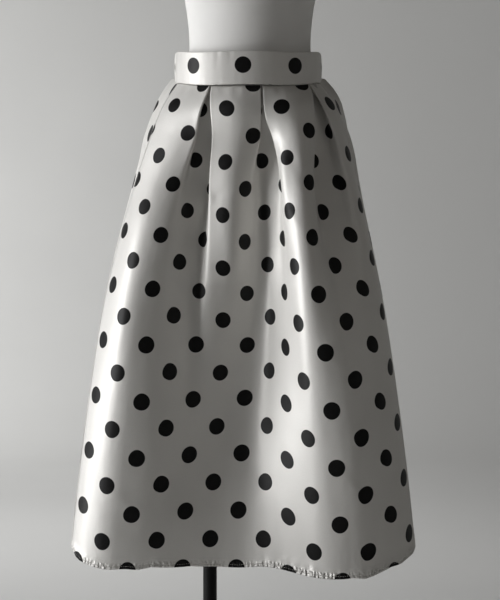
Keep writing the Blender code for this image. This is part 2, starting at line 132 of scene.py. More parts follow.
# How much higher than a plain hang the front lies, as its small ripples take it up (millimetres)
RISE_LEVELS = (0.0, 0.130, 0.250, 0.360, 0.500, 0.756)
RISE = (
    # across, waist, 130 mm, 250 mm, 360 mm, 500 mm, hem
    (-1.5, 0, -3, -2, -4, -5, -3),
    (0.0, 0, 0, -1, -4, -7, -9),
    (1.0, 0, 3, 5, 6, 3, 1),
    (2.0, 0, 9, 12, 16, 13, 11),
    (3.0, 0, 8, 11, 17, 18, 15),
    (4.0, 0, 1, 3, 8, 12, 10),
    (5.0, 0, 1, 4, 10, 15, 7),
    (6.0, 0, 5, 9, 14, 16, 11),
    (7.0, 0, 6, 7, 10, 10, 5),
    (8.0, 0, 5, 3, 3, -1, -6),
    (9.0, 0, -1, -6, -10, -14, -19),
    (10.0, 0, 3, 0, -4, -9, -17),
    (11.0, 0, -3, -5, -5, -8, -13),
    (12.5, 0, -5, -4, -3, -4, -8),
)

# How much shorter the hem is cut towards the side seams: across in dot steps, and metres
CUT = (
    # across, shorter by
    (-1.50, 0.015),
    (-1.05, 0.001),
    (0.75, 0.002),
    (5.50, 0.000),
    (7.40, 0.004),
    (9.20, 0.003),
    (10.90, 0.006),
    (11.45, 0.010),
    (11.85, 0.0095),
    (12.20, 0.0075),
    (12.45, 0.017),
)

# The turned cap on the form's neck
CAP_RADIUS = 0.054
CAP_HIGH = 0.010
CAP_Y = 0.006
CAP_Z = 1.5603

# The camera stands level, this far in front of the pole and this high
CAMERA_AWAY = 2.0
CAMERA_HIGH = 0.680
CAMERA_LENS = 75.0

# The studio's soft lamps
LAMPS = (
    # name, place, aim, size, watts, colour
    ("window", (-2.58, -0.60, 1.00), (0.0, 0.0, 0.66), (1.0, 2.2), 80, (0.985, 0.99, 1.0)),
    ("wall_wash", (-2.4, 3.2, 2.4), (-2.5, 6.0, 1.3), (2.0, 2.0), 52, (1.0, 1.0, 0.995)),
    ("fill", (2.0, -2.0, 1.9), (0.1, 0.0, 0.90), (1.6, 1.6), 1.9, (1.0, 0.94, 0.87)),
    ("floor_wash", (-1.1, 1.2, 2.4), (-0.9, 2.05, 2.04), (2.0, 2.0), 57, (1.0, 1.0, 0.995)),
)

# The form, from its foot up
FORM = (
    # height, half wide, half deep, middle y
    (0.690, 0.110, 0.056, 0.018),
    (0.696, 0.130, 0.068, 0.018),
    (0.712, 0.142, 0.076, 0.020),
    (0.770, 0.150, 0.082, 0.022),
    (0.840, 0.153, 0.083, 0.023),
    (0.900, 0.145, 0.081, 0.020),
    (0.950, 0.131, 0.079, 0.014),
    (0.985, 0.119, 0.0775, 0.009),
    (1.015, 0.1085, 0.0780, 0.006),
    (1.045, 0.1000, 0.0790, 0.005),
    (1.085, 0.0960, 0.0800, 0.001),
    (1.120, 0.0985, 0.0820, -0.002),
    (1.160, 0.1040, 0.0870, -0.006),
    (1.220, 0.117, 0.096, -0.010),
    (1.290, 0.130, 0.102, -0.012),
    (1.350, 0.140, 0.096, -0.007),
    (1.400, 0.146, 0.084, 0.001),
    (1.432, 0.142, 0.070, 0.006),
    (1.454, 0.124, 0.061, 0.008),
    (1.472, 0.096, 0.056, 0.009),
    (1.488, 0.070, 0.053, 0.008),
    (1.508, 0.055, 0.052, 0.007),
    (1.555, 0.052, 0.052, 0.006),
)

# Small creases pressed into the front: from and to across the cloth (dot steps) and
# down it (metres), half width (metres), and depth (metres, outwards)
FRONT_CREASES = (
    # from across, from down, to across, to down, half width, depth
    (-0.10, 0.003, -0.14, 0.020, 0.0022, -0.0006),
    (0.42, 0.003, 0.38, 0.034, 0.0030, -0.0008),
    (0.95, 0.003, 0.92, 0.022, 0.0022, 0.0006),
    (3.62, 0.003, 3.62, 0.018, 0.0020, -0.0008),
    (3.84, 0.003, 3.86, 0.030, 0.0026, 0.0008),
    (4.10, 0.003, 4.16, 0.024, 0.0022, -0.0009),
    (4.36, 0.003, 4.36, 0.036, 0.0030, 0.0008),
    (4.60, 0.003, 4.56, 0.020, 0.0021, -0.0008),
    (4.90, 0.003, 4.86, 0.026, 0.0025, 0.0006),
    (7.70, 0.003, 7.72, 0.020, 0.0021, -0.0007),
    (7.98, 0.003, 7.96, 0.032, 0.0028, 0.0008),
    (8.24, 0.003, 8.28, 0.022, 0.0022, -0.0008),
    (8.62, 0.003, 8.60, 0.028, 0.0026, 0.0006),
    (8.95, 0.003, 8.98, 0.018, 0.0020, -0.0006),
    (11.60, 0.003, 11.62, 0.024, 0.0024, -0.0006),
    (1.10, 0.300, 3.10, 0.372, 0.0110, 0.0012),
    (3.60, 0.185, 4.90, 0.150, 0.0085, 0.0010),
    (4.10, 0.330, 5.60, 0.270, 0.0120, 0.0012),
    (2.20, 0.520, 4.80, 0.470, 0.0150, -0.0013),
    (5.20, 0.600, 7.30, 0.665, 0.0160, 0.0012),
    (8.90, 0.420, 10.60, 0.360, 0.0140, -0.0012),
    (9.60, 0.610, 11.30, 0.560, 0.0150, 0.0012),
    (0.20, 0.640, 1.90, 0.690, 0.0130, -0.0010),
    (8.20, 0.120, 8.80, 0.185, 0.0070, 0.0012),
    (7.95, 0.205, 8.60, 0.250, 0.0075, -0.0012),
)

BACK_CREASES = (
    # from across, from down, to across, to down, half width, depth
    (-6.80, 0.210, -5.10, 0.260, 0.0120, 0.0013),
    (-4.30, 0.380, -2.40, 0.340, 0.0140, -0.0013),
    (-1.60, 0.240, 0.30, 0.290, 0.0110, 0.0012),
    (0.90, 0.500, 2.90, 0.450, 0.0150, 0.0014),
    (3.20, 0.300, 4.60, 0.345, 0.0120, -0.0012),
    (5.10, 0.560, 6.90, 0.600, 0.0150, 0.0012),
    (-7.20, 0.600, -5.00, 0.560, 0.0150, -0.0013),
    (-2.80, 0.640, -0.60, 0.680, 0.0140, 0.0012),
)


# Shapes of the cloth


def between(x, xs, ys):
    """A smooth curve through the points, its slope at each the mean of the slopes beside it."""
    xs = np.asarray(xs, float)
    ys = np.asarray(ys, float)
    slopes = np.gradient(ys, xs)
    i = int(np.clip(np.searchsorted(xs, x) - 1, 0, len(xs) - 2))
    wide = xs[i + 1] - xs[i]
    t = min(max((x - xs[i]) / wide, 0.0), 1.0)
    a = (1 + 2 * t) * (1 - t) ** 2
    b = t * (1 - t) ** 2
    c = t * t * (3 - 2 * t)
    d = t * t * (t - 1)
    return a * ys[i] + b * wide * slopes[i] + c * ys[i + 1] + d * wide * slopes[i + 1]


def ease(x):
    x = np.clip(x, 0.0, 1.0)
    return x * x * (3 - 2 * x)


def side(drop, column):
    return between(drop, [row[0] for row in SIDES], [row[column] for row in SIDES])


def softness(drop, at_waist):
    """How wide the turn at a fold is, in dot steps: sharp at the seam, soft lower down."""
    crisp_to = 0.115 if at_waist < 0.025 else 0.035
    return at_waist + (0.42 - min(at_waist, 0.42)) * float(ease((drop - crisp_to) / 0.28))


def front_limits(drop):
    left = FRONT_FROM[0] + (FRONT_FROM[1] - FRONT_FROM[0]) * min(drop / 0.3, 1.0)
    right = FRONT_TO[0] + (FRONT_TO[1] - FRONT_TO[0]) * drop / SKIRT_LONG
    return left, right


def front_across(drop, columns):
    """Where the columns lie across the cloth at this drop, in dot steps."""
    left, right = front_limits(drop)
    return np.interp(columns, (columns[0], 0.95, 11.85, columns[-1]), (left, 0.95, 11.85, right))


def front_plan(drop, columns):
    """The front panel seen from above at this drop: x and y of the middle of its wall."""
    left, right = front_limits(drop)
    at = np.linspace(left, right, 1600)
    turns = [between(drop, LEVELS, row[3:]) for row in FRONT]
    turn = np.full(len(at), turns[0])
    for row, before, after in zip(FRONT, turns, turns[1:]):
        soft = softness(drop, row[2])
        turn += (after - before) * ease((at - row[1]) / (2 * soft) + 0.5)
    turn = np.radians(turn)
    stride = (at[1] - at[0]) * STEP
    path = np.concatenate([[0], np.cumsum(np.exp(1j * (turn[1:] + turn[:-1]) / 2) * stride)])
    start = complex(side(drop, 1), side(drop, 2))
    end = complex(side(drop, 3), side(drop, 4))
    path = start + path * (end - start) / path[-1]
    here = front_across(drop, columns)
    return np.interp(here, at, path.real), np.interp(here, at, path.imag)


def back_line(drop, count=900):
    """The plain line of the back from the right seam round to the left one."""
    right = complex(side(drop, 3), side(drop, 4))
    left = complex(side(drop, 1), side(drop, 2))
    behind = side(drop, 7)
    t = np.linspace(0.0, 1.0, count)
    ends = right + (left - right) * t
    out = np.sin(math.pi * t) ** 0.88
    y = ends.imag + (behind - ends.imag) * out
    past = np.where(t < 0.5, side(drop, 6), side(drop, 5)) * np.sin(2 * math.pi * np.minimum(t, 1 - t)) ** 2
    middle = (right.real + left.real) / 2
    half = (right.real - left.real) / 2
    square = np.sign(0.5 - t) * np.abs(np.cos(math.pi * t)) ** 0.92
    x = middle + half * square + np.where(t < 0.5, past, -past)
    return x + 1j * y


def back_plan(drop, columns):
    """The back panel from above: gathers at the waist that open into a few soft folds."""
    line = back_line(drop)
    steps = np.abs(np.diff(line))
    run = np.concatenate([[0], np.cumsum(steps)])
    total = run[-1]
    cloth = BACK_WIDE[0] + (BACK_WIDE[1] - BACK_WIDE[0]) * drop / SKIRT_LONG
    want = max(cloth / total, 1.0)
    at = np.linspace(0.0, 1.0, 1400)
    share = float(ease((drop - 0.015) / 0.22))
    edge = ease(at / 0.04) * ease((1 - at) / 0.09)
    small = np.sin(2 * math.pi * GATHERS * at) * (1 - 0.25 * np.sin(2 * math.pi * 3 * at + 1.0))
    large = np.sin(2 * math.pi * BACK_FOLDS * at + 0.5) * (1 + 0.25 * np.sin(2 * math.pi * 2 * at))
    wave = ((1 - share) * small + share * large) * edge
    low = 0.0
    high = 1.75
    for _ in range(26):
        mid = (low + high) / 2
        ratio = 1.0 / np.mean(np.cos(mid * wave))
        if 0 < ratio < want:
            low = mid
        else:
            high = mid
    lean = low * wave
    along = np.concatenate([[0], np.cumsum(np.cos((lean[1:] + lean[:-1]) / 2))])
    off = np.concatenate([[0], np.cumsum(np.sin((lean[1:] + lean[:-1]) / 2))])
    scale = total / along[-1]
    along = along * scale
    off = (off - off[-1] * at) * scale
    off -= (np.mean(off) * share + (np.max(off) - 0.0010) * (1 - share)) * edge
    tangent = np.gradient(line, run)
    tangent /= np.abs(tangent)
    px = np.interp(along, run, line.real)
    py = np.interp(along, run, line.imag)
    tx = np.interp(along, run, tangent.real)
    ty = np.interp(along, run, tangent.imag)
    x = px - off * ty
    y = py + off * tx
    here = (columns - columns[0]) / (columns[-1] - columns[0])
    return np.interp(here, at, x), np.interp(here, at, y)


def seam_lift(x, y, behind):
    """How far the waist seam rises above its lowest, which is at the middle of the front."""
    angle = math.atan2((x - RING_X) / RING_HALF_WIDE, -y / (RING_FRONT if y < 0 else RING_BACK))
    lift = SIDE_LIFT * float(ease((1 - math.cos(angle)) / 0.84))
    if behind:
        past = abs(angle) - (SEAM_ANGLE_RIGHT if angle > 0 else -SEAM_ANGLE_LEFT)
        lift += BACK_RISE * float(ease(past / 0.30))
    return lift


def front_rise(drop, across):
    """The front's rise at this drop, smooth across the panel."""
    high = [between(drop, RISE_LEVELS, row[1:]) / 1000 for row in RISE]
    fine = np.linspace(-2.5, 13.5, 321)
    rough = np.pad(np.interp(fine, [row[0] for row in RISE], high), 10, mode="edge")
    return np.interp(across, fine, np.convolve(rough, np.ones(21) / 21, mode="valid"))


def front_cut(across):
    """How much shorter the hem is cut, as one smooth curve across the panel."""
    fine = np.linspace(-2.5, 13.5, 641)
    rough = np.interp(fine, [row[0] for row in CUT], [row[1] for row in CUT])
    return np.interp(across, fine, blurred(rough, 7))


def sides_only(right, left, t):
    """A value that the back panel shares with the front at its side seams and loses away from them."""
    return right * (1 - ease(t / 0.25)) + left * ease((t - 0.75) / 0.25)


def back_rise(drop, t):
    left, right = front_rise(drop, np.array(front_limits(drop)))
    return sides_only(right, left, t)


def back_cut(t):
    left, right = front_cut(np.array(front_limits(SKIRT_LONG)))
    return sides_only(right, left, t)


def blurred(values, width):
    """Each value averaged with its neighbours, so a hem stays one smooth line."""
    padded = np.pad(values, width, mode="edge")
    kernel = np.ones(2 * width + 1) / (2 * width + 1)
    return np.convolve(padded, kernel, mode="valid")


def even_fall(fall, columns):
    """The fall shared with its neighbours, but at the side edges kept, so both panels meet there."""
    even = np.linspace(columns[0], columns[-1], 121)
    soft = np.interp(columns, even, blurred(np.interp(even, columns, fall), 6))
    t = (columns - columns[0]) / (columns[-1] - columns[0])
    return fall + (soft - fall) * ease(t / 0.06) * ease((1 - t) / 0.06)


def hung(plan, columns, rows, behind, rise, cut):
    """Points of a panel's middle surface, and each point's drop: cloth keeps its length as it hangs."""
    fine = np.linspace(0, SKIRT_LONG, 190)
    plans = np.array([np.stack(plan(drop, columns), 1) for drop in fine])
    z = np.array([SEAM_Z - 1.5 * GAP + seam_lift(x, y, behind) for x, y in plans[0]])
    heights = [z]
    for before, after, high, low in zip(plans, plans[1:], fine, fine[1:]):
        flat = np.sum((after - before) ** 2, 1)
        fall = np.sqrt(np.maximum((low - high) ** 2 - flat, (0.75 * (low - high)) ** 2))
        z = z - even_fall(fall, columns)
        heights.append(z)
    heights = np.array(heights) + np.array([rise(drop) for drop in fine])
    drops = rows[:, None] - cut[None, :] * ease((rows[:, None] - 0.60) / (SKIRT_LONG - 0.60))
    made = np.zeros((len(rows), len(columns), 3))
    for c in range(len(columns)):
        made[:, c, 0] = np.interp(drops[:, c], fine, plans[:, c, 0]) + FORM_X
        made[:, c, 1] = np.interp(drops[:, c], fine, plans[:, c, 1])
        made[:, c, 2] = np.interp(drops[:, c], fine, heights[:, c])
    return made, drops


def creases(across, down, table):
    """How far the cloth stands out from its plain shape: each crease is a soft line across the panel."""
    made = np.zeros_like(across)
    for x1, y1, x2, y2, wide, deep in table:
        start = np.array([x1 * STEP, y1])
        way = np.array([x2 * STEP, y2]) - start
        long = np.hypot(*way)
        way = way / long
        along = (across - start[0]) * way[0] + (down - start[1]) * way[1]
        aside = (across - start[0]) * way[1] - (down - start[1]) * way[0]
        soft = min(0.2 * long, 0.02)
        fade = ease((along + soft / 2) / soft) * ease((long - along) / (0.75 * long))
        made += deep * fade * np.exp(-((aside / wide) ** 2))
    return made


# Meshes


def normals_of(grid):
    across = np.gradient(grid, axis=1)
    down = np.gradient(grid, axis=0)
    n = np.cross(across, down)
    return n / np.linalg.norm(n, axis=2, keepdims=True)


def level_ends(n):
    """The top and bottom edges' normals laid level, so those edges are flat faces."""
    for row in (0, -1):
        n[row, :, 2] = 0
        n[row] /= np.linalg.norm(n[row], axis=1, keepdims=True)
    return n


def mitred(front, back):
    """Normals of two panels, made the same where their side edges meet, and those edges drawn apart."""
    n_front = level_ends(normals_of(front))
    n_back = level_ends(normals_of(back))
    for at_front, next_front, at_back, next_back in ((0, 1, -1, -2), (-1, -2, 0, 1)):
        shared = n_front[:, at_front] + n_back[:, at_back]
        shared /= np.linalg.norm(shared, axis=1, keepdims=True)
        n_front[:, at_front] = shared
        n_back[:, at_back] = shared
        for grid, at, beside in ((front, at_front, next_front), (back, at_back, next_back)):
            way = grid[:, beside] - grid[:, at]
            grid[:, at] += way / np.linalg.norm(way, axis=1, keepdims=True) * GAP
    return n_front, n_back


def cloth_wall(name, grid, n, walls, maps, outside, inside):
    """A thin wall of cloth with its maps, in metres: over the flat cloth, at its hem, at its side seams."""
    half = np.asarray(walls)[:, None, None] / 2 if np.ndim(walls) == 1 else np.asarray(walls)[..., None] / 2
    points = np.concatenate([(grid - n * half).reshape(-1, 3), (grid + n * half).reshape(-1, 3)])
    rows, cols = grid.shape[:2]
    shift = rows * cols
    a = (np.arange(rows - 1)[:, None] * cols + np.arange(cols - 1)[None, :]).ravel()
    outer = np.stack([a, a + 1, a + cols + 1, a + cols], 1)
    inner = outer[:, ::-1] + shift
    edge = [(0, c) for c in range(cols)]
    edge += [(r, cols - 1) for r in range(1, rows)]
    edge += [(rows - 1, c) for c in range(cols - 2, -1, -1)]
    edge += [(r, 0) for r in range(rows - 2, 0, -1)]
    ids = np.array([r * cols + c for r, c in edge])
    after = np.roll(ids, -1)
    rim = np.stack([after, ids, ids + shift, after + shift], 1)
    faces = np.concatenate([outer, inner, rim])
    mesh = bpy.data.meshes.new(name)
    mesh.from_pydata(points.tolist(), [], faces.tolist())
    mesh.materials.append(outside)
    mesh.materials.append(inside)
    index = np.zeros(len(faces), np.int32)
    index[len(outer):len(outer) + len(inner)] = 1
    mesh.polygons.foreach_set("material_index", index)
    mesh.polygons.foreach_set("use_smooth", np.ones(len(faces), bool))
    mesh.update()
    work = bmesh.new()
    work.from_mesh(mesh)
    bmesh.ops.recalc_face_normals(work, faces=work.faces)
    work.to_mesh(mesh)
    work.free()
    at = np.zeros(len(mesh.loops), np.int32)
    mesh.loops.foreach_get("vertex_index", at)
    for title, flat in zip(("cloth", "edge", "side"), maps):
        layer = mesh.uv_layers.new(name=title)
        layer.data.foreach_set("uv", np.concatenate([flat.reshape(-1, 2)] * 2)[at].astype(np.float32).ravel())
    thing = bpy.data.objects.new(name, mesh)
    bpy.context.scene.collection.objects.link(thing)
    return thing


def nothing_selected():
    if bpy.context.object and bpy.context.object.mode != "OBJECT":
        bpy.ops.object.mode_set(mode="OBJECT")
    bpy.ops.object.select_all(action="DESELECT")


def pick(test, kind="FACE"):
    """Selects the faces, or edges, of the mesh in edit mode that pass the test."""
    mesh = bpy.context.object.data
    work = bmesh.from_edit_mesh(mesh)
    for face in work.faces:
        face.select_set(False)
    for edge in work.edges:
        edge.select_set(False)
    work.select_mode = {kind}
    for part in work.faces if kind == "FACE" else work.edges:
        part.select_set(bool(test(part)))
    work.select_flush_mode()
    bmesh.update_edit_mesh(mesh)


def settle(thing, name, shade):
    """Puts the finished piece's place into its mesh, names it and gives it its material."""
    nothing_selected()
    thing.select_set(True)
    bpy.context.view_layer.objects.active = thing
    bpy.ops.object.transform_apply(location=True, rotation=True, scale=True)
    thing.name = name
    thing.data.name = name
    thing.data.materials.clear()
    thing.data.materials.append(shade)
    return thing


def stands_for(piece, node):
    """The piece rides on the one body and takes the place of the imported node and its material."""
    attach(piece, "root")
    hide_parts(node)


def apply_all(thing):
    bpy.context.view_layer.objects.active = thing
    for change in list(thing.modifiers):
        bpy.ops.object.modifier_apply(modifier=change.name)


# Shader maths


class Value:
    """A socket's value, so that shader maths is written as sums."""

    def __init__(self, shade, socket):
        self.shade = shade
        self.socket = socket

    def maths(self, operation, *others):
        return self.shade.node("ShaderNodeMath", {"operation": operation}, dict(enumerate((self, *others))))

    def __add__(self, other):
        return self.maths("ADD", other)

    __radd__ = __add__

    def __sub__(self, other):
        return self.maths("SUBTRACT", other)

    def __rsub__(self, other):
        return self.shade.node("ShaderNodeMath", {"operation": "SUBTRACT"}, {0: other, 1: self})

    def __mul__(self, other):
        return self.maths("MULTIPLY", other)

    __rmul__ = __mul__

    def __truediv__(self, other):
        return self.maths("DIVIDE", other)

    def wrap(self, low, high):
        return self.maths("WRAP", high, low)

    def least(self, other):
        return self.maths("MINIMUM", other)

    def size(self):
        return self.maths("ABSOLUTE")

    def root(self):
        return self.maths("SQRT")

    def ramp(self, low, high):
        """0 below low and 1 above high, smooth between."""
        return self.shade.node(
            "ShaderNodeMapRange",
            {"interpolation_type": "SMOOTHSTEP"},
            {"Value": self, "From Min": low, "From Max": high, "To Min": 0.0, "To Max": 1.0},
        )


class Shade:
    """A material under way: its nodes, and the constants of its shader."""

    def __init__(self, name, **constants):
        self.material = bpy.data.materials.new(name)
        self.material.use_nodes = True
        self.tree = self.material.node_tree
        self.shader = self.tree.nodes["Principled BSDF"]
        for key, value in constants.items():
            self.shader.inputs[key.replace("_", " ")].default_value = value

    def node(self, kind, settings=None, inputs=None, out=0):
        """Any node: its settings are set first, then the values or links of its sockets."""
        made = self.tree.nodes.new(kind)
        for key, value in (settings or {}).items():
            setattr(made, key, value)
        for key, value in (inputs or {}).items():
            socket = made.inputs[key]
            if isinstance(value, Value):
                self.tree.links.new(value.socket, socket)
            elif isinstance(value, tuple) and len(value) == 3 and len(socket.default_value) == 4:
                socket.default_value = (*value, 1.0)
            else:
                socket.default_value = value
        return Value(self, made.outputs[out])

    def place(self):
        return self.node("ShaderNodeTexCoord", out=3)

    def cloth_map(self, title="cloth"):
        """One of the cloth's maps: the place in it, and its two lengths in metres."""
        spot = self.node("ShaderNodeUVMap", {"uv_map": title})
        across, down = self.two_lengths(spot)
        return spot, across, down

    def two_lengths(self, spot):
        """How far a place lies along the first and the second axis."""
        apart = self.node("ShaderNodeSeparateXYZ", None, {0: spot})
        return apart, Value(self, apart.socket.node.outputs[1])

    def stretched(self, spot, x, y, z):
        return self.node("ShaderNodeVectorMath", {"operation": "MULTIPLY"}, {0: spot, 1: (x, y, z)})

    def noise(self, spot, scale, detail=2.0, roughness=0.5):
        inputs = {"Vector": spot, "Scale": scale, "Detail": detail, "Roughness": roughness}
        return self.node("ShaderNodeTexNoise", None, inputs)

    def mix(self, share, low, high):
        """A colour between two, by a share from 0 to 1."""
        made = self.tree.nodes.new("ShaderNodeMix")
        made.data_type = "RGBA"
        for socket, value in ((made.inputs[0], share), (made.inputs[6], low), (made.inputs[7], high)):
            if isinstance(value, Value):
                self.tree.links.new(value.socket, socket)
            elif isinstance(value, (int, float)):
                socket.default_value = value
            else:
                socket.default_value = (*value, 1.0)
        return Value(self, made.outputs[2])

    def bump(self, height, strength, distance, under=None):
        inputs = {"Height": height, "Strength": strength, "Distance": distance}
        if under is not None:
            inputs["Normal"] = under
        return self.node("ShaderNodeBump", None, inputs)

    def feed(self, **links):
        for key, value in links.items():
            self.tree.links.new(value.socket, self.shader.inputs[key.replace("_", " ")])
        return self.material


def dot_mask(across, down, radius):
    """1 inside the printed dots, which stand in staggered rows."""
    near = None
    for first, second in ((0.0, 1.0), (1.0, 0.0)):
        x = (across / STEP + first).wrap(-1.0, 1.0)
        y = (down / STEP + second).wrap(-1.0, 1.0)
        away = (x * x + y * y).root() * STEP
        near = away if near is None else near.least(away)
    return 1.0 - near.ramp(radius - 0.00025, radius + 0.00025)


def hem_puckers(shade):
    """Height of what the hem's stitches draw up: tiny beads at the edge and short fans above them."""
    spot, along, above = shade.cloth_map("edge")
    tight = along.ramp(0.235, 0.280) * (1.0 - along.ramp(0.350, 0.400))
    tight = tight + (1.0 - along.ramp(-0.035, 0.020)) * 0.35
    uneven = shade.noise(shade.stretched(spot, 17.0, 0.0, 1.0), 1.0, 1.0).ramp(0.30, 0.65) * 0.5 + tight
    beads = shade.noise(shade.stretched(spot, 230.0, 110.0, 1.0), 1.0, 0.0).ramp(0.32, 0.68)
    fans = shade.noise(shade.stretched(spot, 95.0, 30.0, 1.0), 1.0, 0.0)
    stitched = 1.0 - (above - 0.004).size().ramp(0.0002, 0.0013)
    edge = beads * (1.0 - above.ramp(0.005, 0.011)) * (0.25 + uneven)
    return edge + fans * (1.0 - above.ramp(0.006, 0.022)) * uneven * 0.9 - stitched * 0.35


def side_seam(shade):
    """1 in the narrow groove along a panel's side edges, where it is sewn to the next."""
    _, from_first, from_last = shade.cloth_map("side")
    return 1.0 - from_first.least(from_last).ramp(0.0003, 0.0030)


def satin(name, sizes, colours, wrong_side=False):
    """Heavy printed satin: a fine slubby weave, a soft sheen, and black dots on ivory."""
    shade = Shade(name, Specular_IOR_Level=0.20, Sheen_Weight=0.03, Sheen_Roughness=0.35)
    spot, across, down = shade.cloth_map()
    threads = shade.noise(shade.stretched(spot, 3400.0, 260.0, 1.0), 1.0, 2.0)
    slubs = shade.noise(shade.stretched(spot, 90.0, 900.0, 1.0), 1.0, 3.0, 0.6)
    grain = shade.noise(shade.stretched(spot, 820.0, 640.0, 1.0), 1.0, 2.0, 0.7)
    ripples = shade.noise(shade.stretched(spot, 30.0, 13.0, 1.0), 1.0, 2.0, 0.4)
    clouds = shade.noise(spot, 9.0, 2.0)
    ivory = shade.mix(clouds.ramp(0.3, 0.7), colours.cloth, tuple(0.965 * c for c in colours.cloth))
    ivory = shade.mix(slubs.ramp(0.45, 0.75) * 0.08, ivory, tuple(0.80 * c for c in colours.cloth))
    ivory = shade.mix(grain.ramp(0.35, 0.70) * 0.16, ivory, tuple(0.62 * c for c in colours.cloth))
    dots = dot_mask(across, down, sizes.dot_wide / 2)
    black = shade.mix(slubs.ramp(0.35, 0.75), colours.dots, tuple(1.8 * c for c in colours.dots))
    printed = dots * (0.30 if wrong_side else 1.0)
    colour = shade.mix(printed, ivory, black)
    rough = 0.38 + slubs * 0.08 + grain * 0.10 + (0.12 if wrong_side else 0.0)
    weave = shade.bump(ripples, 0.35, 0.0030)
    weave = shade.bump(hem_puckers(shade) - side_seam(shade) * 0.7, 0.90, 0.0024, weave)
    weave = shade.bump(threads, 0.05, 0.0002, weave)
    weave = shade.bump(slubs + grain * 0.8, 0.12, 0.0004, weave)
    shine = (1.0 - printed) * (0.10 if wrong_side else 0.19)
    return shade.feed(Base_Color=colour, Roughness=rough, Metallic=shine, Normal=weave)


def cotton(name):
    """Ivory sewing thread with its twist."""
    shade = Shade(name, Specular_IOR_Level=0.3, Sheen_Weight=0.2, Sheen_Roughness=0.5)
    spot = shade.place()
    twist = shade.noise(shade.stretched(spot, 1.0, 1.0, 2.5), 1500.0, 2.0)
    colour = shade.mix(twist.ramp(0.35, 0.65), (0.70, 0.68, 0.64), (0.56, 0.54, 0.50))
    return shade.feed(Base_Color=colour, Roughness=0.62 + twist * 0.15, Normal=shade.bump(twist, 0.2, 0.0002))


def jersey(name, colours):
    """Matt stretch cover of the form: fine knitted ribs."""
    shade = Shade(name, Specular_IOR_Level=0.25, Sheen_Weight=0.15, Sheen_Roughness=0.6)
    spot = shade.place()
    ribs = shade.node(
        "ShaderNodeTexWave",
        {"wave_type": "BANDS", "bands_direction": "Z"},
        {"Vector": spot, "Scale": 420.0, "Distortion": 3.0, "Detail": 2.0, "Detail Scale": 3.0},
    )
    fuzz = shade.noise(spot, 900.0, 2.0)
    clouds = shade.noise(spot, 14.0, 3.0)
    colour = shade.mix(clouds.ramp(0.3, 0.7), colours.form, tuple(0.96 * c for c in colours.form))
    rough = 0.78 + fuzz * 0.12
    knit = shade.bump(ribs + fuzz * 0.6, 0.12, 0.0003)
    return shade.feed(Base_Color=colour, Roughness=rough, Normal=knit)


def steel(name, colours):
    """Black powder coat: a fine pebbled skin with a little dust on top."""
    shade = Shade(name, Specular_IOR_Level=0.2)
    spot = shade.place()
    pebbles = shade.noise(spot, 1400.0, 3.0, 0.6)
    wear = shade.noise(spot, 35.0, 4.0, 0.6)
    colour = shade.mix(wear.ramp(0.45, 0.75), colours.stand, tuple(2.2 * c for c in colours.stand))
    rough = 0.38 + wear * 0.22 + pebbles * 0.06
    skin = shade.bump(pebbles, 0.18, 0.0002)
    return shade.feed(Base_Color=colour, Roughness=rough, Normal=skin)


def dark_wood(name, colours):
    """Turned and stained wood: rings across the top, streaks down the side."""
    shade = Shade(name, Specular_IOR_Level=0.45, Coat_Roughness=0.3)
    spot = shade.place()
    grain = shade.node(
        "ShaderNodeTexWave",
        {"wave_type": "BANDS", "bands_direction": "X"},
        {
            "Vector": shade.stretched(spot, 1.0, 0.25, 0.25),
            "Scale": 55.0,
            "Distortion": 5.0,
            "Detail": 4.0,
            "Detail Scale": 1.5,
        },
    )
    pores = shade.noise(shade.stretched(spot, 900.0, 60.0, 60.0), 1.0, 3.0)
    colour = shade.mix(grain, colours.wood, tuple(0.55 * c for c in colours.wood))
    colour = shade.mix(pores.ramp(0.55, 0.75) * 0.6, colour, tuple(0.35 * c for c in colours.wood))
    rough = 0.42 + pores * 0.15
    cut = shade.bump(pores + grain * 0.5, 0.15, 0.0003)
    return shade.feed(Base_Color=colour, Roughness=rough, Normal=cut)


def plaster_and_painted_shade(name, colour):
    """The studio's pale floor and wall, with painted shade that greys them towards the right and the back."""
    shade = Shade(name, Specular_IOR_Level=0.15)
    spot = shade.place()
    clouds = shade.noise(spot, 1.2, 3.0)
    grit = shade.noise(spot, 160.0, 2.0)
    right, back = shade.two_lengths(spot)
    tone_and_shade = shade.mix(clouds.ramp(0.3, 0.7), colour, tuple(0.97 * c for c in colour))
    # Painted shade: the colour greys towards the right and the back, standing in for the window light from
    # the left falling off.
    tone_and_shade = shade.mix(right.ramp(-1.4, 1.6) * back.ramp(0.6, 2.4), tone_and_shade, tuple(0.86 * c for c in colour))
    return shade.feed(Base_Color=tone_and_shade, Roughness=0.85 + grit * 0.1, Normal=shade.bump(grit, 0.03, 0.001))


# Settings


def length(name, description, default, low, high):
    return FloatProperty(
        name=name, description=description, default=default, min=low, max=high, unit="LENGTH"
    )


def count(name, description, default):
    return IntProperty(name=name, description=description, default=default, min=60, max=260)


def colour(name, description, default):
    return FloatVectorProperty(
        name=name, description=description, subtype="COLOR", size=3, default=default, min=0, max=1
    )


class SkirtSizes(bpy.types.PropertyGroup):
    """Sizes of the skirt that a maker would change."""

    wall: length("Cloth thickness", "Thickness of the satin", 0.0011, 0.0004, 0.003)
    hem_wall: length("Hem thickness", "Thickness of the turned hem", 0.0019, 0.0004, 0.004)
    hem_turn: length("Hem turn", "Height of the turned hem", 0.013, 0.005, 0.04)
    band_wall: length("Waistband thickness", "Thickness of the folded waistband", 0.0023, 0.001, 0.004)
    dot_wide: length("Dot width", "Width of a printed dot", 0.0255, 0.005, 0.06)
    stitch_long: length("Stitch length", "Length of one stitch with its gap", 0.0034, 0.002, 0.008)
    front_columns: count("Front columns", "Columns of the front panel's mesh", 205)
    back_columns: count("Back columns", "Columns of the back panel's mesh", 230)


